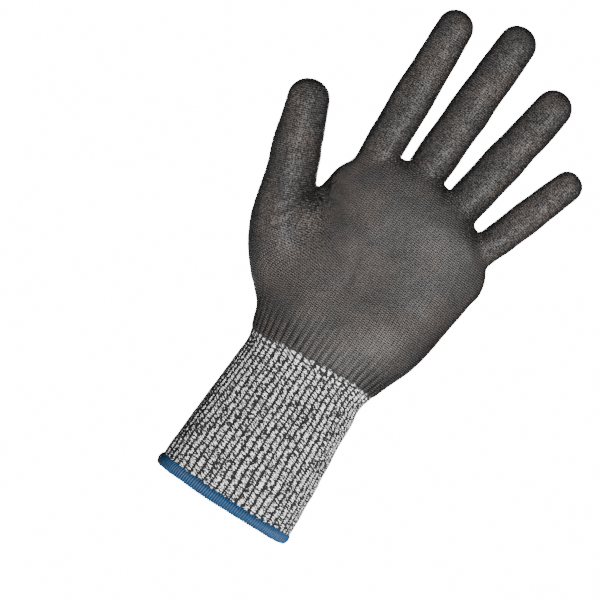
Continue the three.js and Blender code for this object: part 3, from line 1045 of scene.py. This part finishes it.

# %% [markdown]
# ## The melange group
# The liner's yarn is black and white plies twisted together, so each row is a run of dark and light
# dashes. Noise stretched along the rows gives the dashes, and painted shade, darkening the grooves between
# stitches, gives the knit its depth. A share, a length and a width let liner and cuff each have their own
# mix.

# %% The melange group
def melange_group(knit):
    """Dark and light dashes along the rows of the knit."""
    nodes, given, made = new_group(
        "melange yarn",
        {"Place": "V", "Column Width": "F", "Row Height": "F", "Slant": "F", "Dark Share": "F",
         "Dash Length": "F", "Dash Width": "F"},
        {"Color": "C", "Height": "F"})
    knit_inputs = ("Place", "Column Width", "Row Height", "Slant")
    stitches = nodes.group(knit, {key: given[key] for key in knit_inputs})
    place = nodes.add("ShaderNodeSeparateXYZ", [given["Place"]]).outputs
    across_dash = nodes.math("SUBTRACT", place[1], nodes.math("MULTIPLY", place[0], 0.32))
    dash_place = nodes.join(nodes.math("DIVIDE", place[0], given["Dash Length"]),
                            nodes.math("DIVIDE", across_dash, given["Dash Width"]), 0.0)
    dash = nodes.noise(dash_place, 1.0, 1.0, 0.6)
    twist = nodes.noise(given["Place"], 2.2, 1.0)
    cloud = nodes.noise(given["Place"], 0.06, 2.0)
    value = nodes.math("ADD", dash, nodes.math("MULTIPLY", nodes.math("SUBTRACT", twist, 0.5), 0.2))
    value = nodes.math("ADD", value, nodes.math("MULTIPLY", nodes.math("SUBTRACT", cloud, 0.5), 0.14))
    level = nodes.math("ADD", nodes.math("MULTIPLY", given["Dark Share"], 0.34), 0.345)
    light = nodes.ramp(nodes.math("SUBTRACT", value, level), -0.03, 0.035)
    fibre = nodes.ramp(nodes.noise(given["Place"], 5.5, 2.0), 0.3, 0.7, 0.72, 1.0)
    white = nodes.mix(fibre, (0.62, 0.61, 0.615, 1), (0.93, 0.92, 0.93, 1))
    dark = nodes.mix(fibre, (0.0025, 0.0025, 0.003, 1), (0.010, 0.0097, 0.010, 1))
    # painted shade: the grooves between stitches are darkened towards near black
    gap = nodes.ramp(stitches["Height"], 0.0, 0.55, 0.45, 1.0)
    color = nodes.mix(light, dark, white)
    shaded = nodes.mix(gap, nodes.mix(0.5, (0.004, 0.004, 0.004, 1), color), color)
    nodes.tree.links.new(shaded, made["Color"])
    nodes.tree.links.new(stitches["Height"], made["Height"])
    return nodes.tree


melange = melange_group(knit)
print("melange group:", len(melange.nodes), "nodes")

# %% [markdown]
# ## Bare knit: the liner and the ribs
# Both use the melange yarn. Near the dip line the liner's yarn is soaked dark by the coating. In the
# ribs, light stitches stand on the ridges and the valleys between them are painted nearly black as shade,
# with little lighter ticks painted where stitches cross over, like the rungs of a ladder.

# %% Bare knit materials
SHADOW = (0.006, 0.006, 0.0062, 1)        # between ribs, where no light reaches
SOAKED = (0.014, 0.013, 0.0125, 1)


def new_material(name, roughness, specular):
    material = bpy.data.materials.new(name)
    material.use_nodes = True
    shader = material.node_tree.nodes["Principled BSDF"]
    shader.inputs["Roughness"].default_value = roughness
    shader.inputs["Specular IOR Level"].default_value = specular
    return material, Nodes(material.node_tree), shader


def set_bump(nodes, shader, height, distance):
    """Distance is in millimetres."""
    inputs = {"Height": height, "Distance": distance * MM, "Strength": 1.0}
    nodes.tree.links.new(nodes.add("ShaderNodeBump", inputs).outputs[0], shader.inputs["Normal"])


def knit_place(nodes):
    return nodes.add("ShaderNodeUVMap", uv_map="knit").outputs[0]


def liner_material(melange):
    material, nodes, shader = new_material("bare_liner_knit", 0.75, 0.25)
    yarn = nodes.group(melange, {"Place": knit_place(nodes), "Column Width": 1.5, "Row Height": 1.05,
                                 "Slant": 0.9, "Dark Share": 0.56, "Dash Length": 2.5, "Dash Width": 0.92})
    edge = nodes.math("ADD", nodes.stored("dip"), nodes.math("MULTIPLY", yarn["Height"], 0.8))
    soaked = nodes.ramp(edge, -1.3, 0.6)
    # painted shade: where the ribs still run under the hand, their valleys are darkened towards SHADOW
    out_of_valley_shade = nodes.ramp(nodes.stored("ridge"), 0.35, 0.85)
    color = nodes.mix(out_of_valley_shade, SHADOW, yarn["Color"])
    color = nodes.mix(soaked, color, SOAKED)
    nodes.tree.links.new(color, shader.inputs["Base Color"])
    set_bump(nodes, shader, yarn["Height"], 0.35)
    return material


def rib_material(melange):
    material, nodes, shader = new_material("ribbed_knit", 0.78, 0.22)
    yarn = nodes.group(melange, {"Place": knit_place(nodes), "Column Width": 1.9, "Row Height": 1.15,
                                 "Slant": 1.2, "Dark Share": 0.5, "Dash Length": 2.3, "Dash Width": 0.88})
    ridge = nodes.stored("ridge")
    # painted shade and light: the rib valleys are darkened towards SHADOW, and raised stitches are lifted out
    # of it as lighter ticks
    tick = nodes.math("MULTIPLY", nodes.math("SUBTRACT", yarn["Height"], 0.6), 0.7)
    lit = nodes.ramp(nodes.math("ADD", ridge, tick), 0.64, 0.92)
    nodes.tree.links.new(nodes.mix(lit, SHADOW, yarn["Color"]), shader.inputs["Base Color"])
    set_bump(nodes, shader, yarn["Height"], 0.4)
    return material


finishes = {"liner": liner_material(melange), "rib": rib_material(melange)}
print("bare knit:", finishes["liner"].name, "and", finishes["rib"].name)

# %% [markdown]
# ## The dipped coating
# The film is thin, so the stitches show through it on the palm, and on the digits, where it shrinks on
# to the cloth, it turns to fine crepe. Its colour is painted lighter on the stitch crests and crepe fields
# and near black in the grooves and creases, as painted light and shade, and painted shade darkens the
# sides of the digits, which face sideways, and the webs. Coat Weight lets only the crests shine, as on
# worn polyurethane.

# %% The coating material
# painted shade: the colour of the film's grooves, creases and rib valleys
COAT_PAINTED_SHADE = (0.0012, 0.0011, 0.0011, 1)


def coating_material(knit):
    material, nodes, shader = new_material("dipped_coating", 0.5, 0.2)
    rest = nodes.stored("rest", "Vector")
    stitches = nodes.group(knit, {"Place": knit_place(nodes), "Column Width": 1.5, "Row Height": 1.05,
                                  "Slant": 0.9})
    worm = nodes.math("ABSOLUTE", nodes.math("SUBTRACT", nodes.noise(rest, 0.8, 2.0, 0.6), 0.5))
    crepe = nodes.ramp(worm, 0.0, 0.09)
    speck = nodes.noise(rest, 1.9, 1.0)
    wrinkled = nodes.ramp(nodes.stored("digit"), 0.0, 1.0, 0.25, 0.5)
    smooth = nodes.math("SUBTRACT", 1.0, wrinkled)
    raised = nodes.math("MULTIPLY", stitches["Height"], 1.25)
    film = nodes.math("ADD", nodes.math("MULTIPLY", raised, smooth), nodes.math("MULTIPLY", crepe, wrinkled))
    # painted light and shade: stitch crests and crepe fields lighter, grooves and creases near black; speck
    # and tint are the film's own mottle
    shade = nodes.math("ADD", nodes.math("MULTIPLY", film, 0.62), nodes.math("MULTIPLY", speck, 0.5))
    # painted shade on the sides of the digits and in the webs, from the stored side share
    shade = nodes.math("SUBTRACT", shade, nodes.math("MULTIPLY", nodes.stored("side"), 0.28))
    light = nodes.ramp(shade, 0.45, 0.84)
    tint = nodes.ramp(nodes.noise(rest, 0.05, 2.0), 0.36, 0.64)
    crest = nodes.mix(tint, (0.044, 0.041, 0.0405, 1), (0.067, 0.056, 0.0505, 1))
    color = nodes.mix(light, COAT_PAINTED_SHADE, crest)
    # painted shade: the rib valleys under the film are darkened towards near black
    out_of_valley_shade = nodes.ramp(nodes.stored("ridge"), 0.35, 0.85)
    color = nodes.mix(out_of_valley_shade, COAT_PAINTED_SHADE, color)
    nodes.tree.links.new(color, shader.inputs["Base Color"])
    nodes.tree.links.new(nodes.ramp(speck, 0.35, 0.7, 0.52, 0.42), shader.inputs["Roughness"])
    shader.inputs["Coat Roughness"].default_value = 0.53
    sheen = nodes.math("MULTIPLY", nodes.ramp(shade, 0.45, 0.88, 0.0, 0.37),
                       nodes.ramp(wrinkled, 0.0, 0.5, 1.0, 0.72))
    nodes.tree.links.new(sheen, shader.inputs["Coat Weight"])
    set_bump(nodes, shader, film, 0.8)
    return material


finishes["coating"] = coating_material(knit)
print("coating material:", len(finishes["coating"].node_tree.nodes), "nodes")

# %% [markdown]
# ## Thread and elastic
# The overlock thread is a fluffy blue one, with streaks of fibre along it; painted shade darkens the
# grooves between its wraps and the needle holes along its upper edge. The elastic has a white wrapping that
# winds round it.

# %% Thread and elastic materials
def hem_material():
    material, nodes, shader = new_material("blue_overlock_thread", 0.62, 0.3)
    streaks = nodes.add("ShaderNodeMapping", {"Vector": knit_place(nodes), "Scale": (6.0, 1.2, 1.0)})
    fibre = nodes.noise(streaks.outputs[0], 1.0, 2.0)
    color = nodes.mix(nodes.ramp(fibre, 0.3, 0.7), (0.0002, 0.014, 0.045, 1), (0.0004, 0.045, 0.12, 1))
    # painted shade in the grooves between the wraps
    groove = nodes.ramp(nodes.stored("ridge"), 0.1, 0.8)
    color = nodes.mix(groove, (0.0002, 0.006, 0.022, 1), color)
    # painted shade in the needle holes
    color = nodes.mix(nodes.stored("hole"), color, (0.006, 0.007, 0.012, 1))
    nodes.tree.links.new(color, shader.inputs["Base Color"])
    set_bump(nodes, shader, fibre, 0.15)
    return material


def elastic_material():
    material, nodes, shader = new_material("covered_elastic", 0.7, 0.3)
    along = nodes.add("ShaderNodeSeparateXYZ", [knit_place(nodes)]).outputs[0]
    wrap = nodes.math("SINE", nodes.math("MULTIPLY", along, 9.0))
    color = nodes.mix(nodes.ramp(wrap, -1.0, 1.0), (0.2, 0.2, 0.21, 1), (0.7, 0.7, 0.7, 1))
    nodes.tree.links.new(color, shader.inputs["Base Color"])
    set_bump(nodes, shader, wrap, 0.1)
    return material


finishes |= {"hem": hem_material(), "elastic": elastic_material()}
print("finishes:", ", ".join(material.name for material in finishes.values()))

# %% [markdown]
# ## The film's thickness
# The coating rises off the skin from nothing at the dip line to its full thickness a little way in. The
# sides of each digit, which face sideways, and the webs are given a share of painted shade for the colour.

# %% Thickness of the film
COAT_THICKNESS = 0.32
COAT_EDGE = 0.04
COAT_CLEARANCE = 0.015         # between the skin and the film's inner side
WEB_SHADE_REACH = 6.5

coat_rise = COAT_EDGE + COAT_THICKNESS * smooth_step(coat_dip / 1.4)
coat_outer = coat_base + coat_normals * coat_rise[:, None]
coat_inner = coat_base + coat_normals * COAT_CLEARANCE
coat_shading = face_normals_to_points(coat_outer, coat_quads, len(coat_outer))
# painted shade: 1 where the surface faces sideways, and near the webs; the coating's colour is darkened by it
coat_painted_shade = smooth_step((0.84 - np.abs(coat_normals[:, 1])) / 0.42)
for centre in web_centres:
    away = np.hypot(coat_base[:, 0] - centre[0], coat_base[:, 2] - centre[2] + 2)
    coat_painted_shade = np.maximum(coat_painted_shade, bump(away, WEB_SHADE_REACH))
print("film, mm:", round(float(coat_rise.min()), 2), "to", round(float(coat_rise.max()), 2))

# %% [markdown]
# ## The liner and the coating
# The liner's outer side is the skin itself, and its inner side lies a cloth's thickness further in. Liner
# and coating are cut into the same pieces, one for each joint.
# The hand's liner starts just above the cuff's top, which slips under it.

# %% Make the liner and coating pieces
LINER_THICKNESS = 1.2
LINER_BOTTOM = WRIST_Z + 4


def replaced_nodes(layer, label):
    if label == "hand":
        return ("palm_liner", "back_liner", "wrist_fold") if layer == "liner" else ("palm_coating",)
    if layer == "coating":
        return (f"{label}_coating",)
    return f"{label}_sleeve", f"{label.replace('_tip', '_end')}_fold"


def finish_piece(piece, layer, label):
    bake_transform(piece)
    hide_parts(*replaced_nodes(layer, label))


liner_inner = skin_points - skin_normals * LINER_THICKNESS
above_cuff = skin_points[skin_quads][:, :, 2].mean(1) > LINER_BOTTOM
for label in sorted(set(skin_labels)):
    mine = (skin_labels == label) & above_cuff
    piece = shell_piece(f"liner_{label}", skin_points, liner_inner, skin_normals, skin_quads[mine],
                        liner_knit, finishes["liner"], dip=skin_dip, ridge=skin_ridge)
    finish_piece(piece, "liner", label)
    piece = shell_piece(f"coating_{label}", coat_outer, coat_inner, coat_shading,
                        coat_quads[coat_labels == label], coat_knit, finishes["coating"],
                        dip=coat_dip, ridge=coat_ridge, digit=coat_digit, side=coat_painted_shade, rest=coat_base)
    finish_piece(piece, "coating", label)
print("liner and coating pieces:", 2 * len(set(skin_labels)))

# %% [markdown]
# ## The cuff's wall
# The cuff is a plain tube before it is knitted, with the same sections as the skin above it. Points are
# placed at equal lengths round it, so that all ribs are equally wide, and the hem and the elastic use
# the same wall further out or in.

# %% Points on the cuff's wall
def wall_point(heights, shares, inset):
    """Points on the cuff's wall, at shares of a turn from the middle of the back. All arrays alike."""
    angle = np.linspace(-math.pi, math.pi, 721)
    x, y, result = np.sin(angle), np.cos(angle), np.zeros((*shares.shape, 3))
    round_x = np.sign(x) * np.abs(x) ** (2 / BODY_POWER)
    round_y = np.sign(y) * np.abs(y) ** (2 / BODY_POWER)
    for row, height in enumerate(heights):
        left, right, front, back = BODY_TABLE(height - WRIST_Z)[0]
        half = (right - left) / 2 - inset
        ring = np.column_stack([round_x * half + (left + right) / 2,
                                round_y * (np.where(y < 0, front, back) - inset),
                                np.full(len(angle), height)])
        arc, half_turn = tube_coordinates(*body_sizes(ring), palm_first=False)
        share = arc / (2 * half_turn)
        for axis in range(3):
            result[row, :, axis] = np.interp(shares[row], share, ring[:, axis])
    return result


wrist_back = wall_point(np.array([WRIST_Z]), np.zeros((1, 1)), 0.0)[0, 0]
print("middle of the wrist's back, mm:", wrist_back.round(1))

# %% [markdown]
# ## The ribbed cuff
# The cuff is knitted as ribs: raised columns of light stitches with sunken columns between them, which its
# material paints dark as shade.
# Its grid has eight columns of points to each rib, enough for a round ridge and a narrow valley, and its
# top edge slips under the liner's first row.

# %% Knit the cuff
CUFF_LOW, CUFF_HIGH = 3.0, WRIST_Z + 6
CUFF_WALL = 1.7
RIB_PITCH = 3.8                 # only scales the knit coordinates
COLUMNS_PER_RIB = 8


def grid_faces(rows, columns, closed_rows=False):
    """Quads of a grid whose columns close into a ring."""
    i, j = np.meshgrid(np.arange(rows if closed_rows else rows - 1), np.arange(columns), indexing="ij")
    i, j = i.ravel(), j.ravel()
    up, on = (i + 1) % rows, (j + 1) % columns
    return np.column_stack([i * columns + j, i * columns + on, up * columns + on, up * columns + j])


def knit_cuff():
    heights = np.arange(CUFF_LOW, CUFF_HIGH + 0.01, 1.0)
    columns = RIB_COUNT * COLUMNS_PER_RIB
    shares = np.tile(np.linspace(-0.5, 0.5, columns, endpoint=False), (len(heights), 1))
    base = wall_point(heights, shares, 0.0)
    faces = grid_faces(*shares.shape)[:, ::-1]
    flat = base.reshape(-1, 3)
    normals = face_normals_to_points(flat, faces, len(flat))
    phase = RIB_COUNT * shares.ravel() + 0.16 * noise(flat, 9, 31) * smooth_step((CUFF_HIGH - flat[:, 2]) / 8)
    ridge = rib_height(phase)
    depth = 0.42 + 0.25 * smooth_step((CUFF_HIGH - flat[:, 2]) / 12)
    slip = 0.3 * smooth_step((flat[:, 2] - LINER_BOTTOM) / 2)
    gather = 0.5 * noise(flat, 14, 33) + 0.25 * noise(flat, 5, 34)
    settle = smooth_step((CUFF_HIGH - flat[:, 2]) / 15)
    skin_like = 0.35 * noise(flat, 15, 1) + 0.14 * noise(flat, 6, 2)
    push = depth * (ridge - 0.6) - slip + settle * gather + (1 - settle) * skin_like
    uneven = 0.06 * noise(flat, 1.1, 35)
    outer = flat + normals * (push + uneven)[:, None]
    inner = flat + normals * (push - CUFF_WALL - 0.3 * ridge)[:, None]
    around = phase * RIB_PITCH
    half_turn = np.full(len(flat), RIB_COUNT * RIB_PITCH / 2)
    knit_places = [around, flat[:, 2], np.zeros(len(flat)), half_turn]
    shading = face_normals_to_points(outer, faces, len(flat))
    piece = shell_piece("ribbed_cuff", outer, inner, shading, faces, knit_places, finishes["rib"],
                        ridge=ridge)
    print("cuff:", len(piece.data.vertices), "vertices")
    return piece


cuff = knit_cuff()
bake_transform(cuff)
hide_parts("rib_cuff")

# %% [markdown]
# ## Tubes round the cuff
# The hem and the elastic are closed tubes that run once round the cuff. One helper makes both: it takes
# a ring of points on the wall, the direction outwards at each, and the section there, which may differ
# all the way round.

# %% Tubes round the cuff
TUBE_GIRTH = 8.0                # only scales the knit coordinates


def tube_piece(name, centre, outward, radii, material, turn_length, **attributes):
    """A closed tube: centre and outward are rows of points and directions along it, and radii holds
    for each point of each section how far out and how far up it is."""
    count, sides = radii.shape[:2]
    points = (centre[:, None] + outward[:, None] * radii[:, :, :1]
              + np.array([0, 0, 1.0]) * radii[:, :, 1:])
    faces = grid_faces(count, sides, closed_rows=True)
    along = np.arange(count + 1) * turn_length / count
    round_it = np.linspace(0, TUBE_GIRTH, sides + 1)
    i, j = np.divmod(np.arange(count * sides), sides)
    corners = np.stack([np.column_stack([along[a], round_it[b]]) for a, b in
                        ((i, j), (i, j + 1), (i + 1, j + 1), (i + 1, j))], axis=1)
    return make_mesh(name, points.reshape(-1, 3), faces, material, corners, **attributes)


def wall_ring(height, count, inset):
    share = np.linspace(-0.5, 0.5, count, endpoint=False)
    ring = wall_point(np.array([height]), share[None], inset)[0]
    tangent = np.roll(ring, -1, axis=0) - np.roll(ring, 1, axis=0)
    outward = np.column_stack([-tangent[:, 1], tangent[:, 0], np.zeros(count)])
    outward /= np.linalg.norm(outward, axis=1, keepdims=True)
    outward *= np.sign((outward * ring).sum(1))[:, None]
    return share, ring, outward


opening = wall_ring(0.0, 100, 0.0)[1]
print("cuff opening, mm:", round(float(np.ptp(opening[:, 0]))), "by", round(float(np.ptp(opening[:, 1]))))

# %% [markdown]
# ## The overlocked hem
# The edge is bound with blue thread wound round it about a hundred and sixty times. Each wrap is a
# ridge of the mesh that leans a little, and the needle has left a row of small holes at its upper edge.
# Real wraps catch the light one by one, which a picture of thread on a smooth tube would not.

# %% Bind the edge
HEM_WRAPS = 160
POINTS_PER_WRAP = 10
HEM_HEIGHT = 2.9
HEM_INSET = 0.8
HEM_HALF_HEIGHT, HEM_HALF_WIDTH = 2.95, 1.9
HOLE_DEPTH = 0.35
HEM_TURN = 205.0                # length of the hem's one turn, for its knit coordinates


def bind_hem():
    share, ring, outward = wall_ring(HEM_HEIGHT, HEM_WRAPS * POINTS_PER_WRAP, HEM_INSET)
    angle = np.linspace(0, 2 * math.pi, 30, endpoint=False)
    turn = share[:, None] * HEM_WRAPS + 0.25 * np.sin(angle)[None, :] + 0.05 * noise(ring, 4, 41)[:, None]
    ridge = np.abs(np.cos(math.pi * turn)) ** 1.1
    wave = 1 + 0.06 * noise(ring, 9, 42)[:, None] + 0.04 * noise(ring, 2.1, 43)[:, None]
    swell = (ridge - 0.5) * 0.45
    out = np.cos(angle)[None] * (HEM_HALF_WIDTH * wave + swell)
    up = np.sin(angle)[None] * (HEM_HALF_HEIGHT * wave + swell)
    up = up + 0.35 * noise(ring, 12, 44)[:, None]
    near_top = bump(angle - math.radians(48), 0.22)[None] + bump(angle - math.radians(132), 0.22)[None]
    hole = np.clip(near_top * smooth_step((0.8 - ridge) / 0.4), 0, 1)
    out = out - HOLE_DEPTH * hole * np.cos(angle)[None]
    return tube_piece("blue_hem", ring, outward, np.stack([out, up], axis=2), finishes["hem"], HEM_TURN,
                      ridge=ridge.ravel(), hole=hole.ravel())


hem = bind_hem()
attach(hem, "cuff")
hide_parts("cuff_hem")
print("hem wraps:", HEM_WRAPS)

# %% [markdown]
# ## The elastic inside
# What makes the cuff grip is covered elastic, laid in behind the ribs as they are knitted. Four rounds
# stand for it. Each wavers with the ribs and up and down a little, as a thread held only by loops does.

# %% Lay in the elastic
ELASTIC_HEIGHTS = [14.0, 29.0, 44.0, 59.0]
ELASTIC_RADIUS = 0.45
ELASTIC_TURN = 200.0            # length of one round, for its knit coordinates


def lay_elastic(number, height):
    share, ring, outward = wall_ring(height, RIB_COUNT * COLUMNS_PER_RIB, CUFF_WALL + 0.35)
    waver = np.cos(2 * math.pi * RIB_COUNT * share)
    ring = ring + outward * (0.25 * waver)[:, None]
    ring[:, 2] += 0.3 * np.sin(math.pi * RIB_COUNT * share) + 0.4 * noise(ring, 11, 50 + number)
    angle = np.linspace(0, 2 * math.pi, 8, endpoint=False)
    section = ELASTIC_RADIUS * np.stack([np.cos(angle), np.sin(angle)], axis=1)
    radii = np.tile(section, (len(share), 1, 1))
    return tube_piece(f"elastic_round_{number}", ring, outward, radii, finishes["elastic"], ELASTIC_TURN)


for number, height in enumerate(ELASTIC_HEIGHTS, 1):
    elastic = lay_elastic(number, height)
    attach(elastic, "cuff")
    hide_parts(f"elastic_yarn_{number}")
print("elastic rounds:", len(ELASTIC_HEIGHTS))
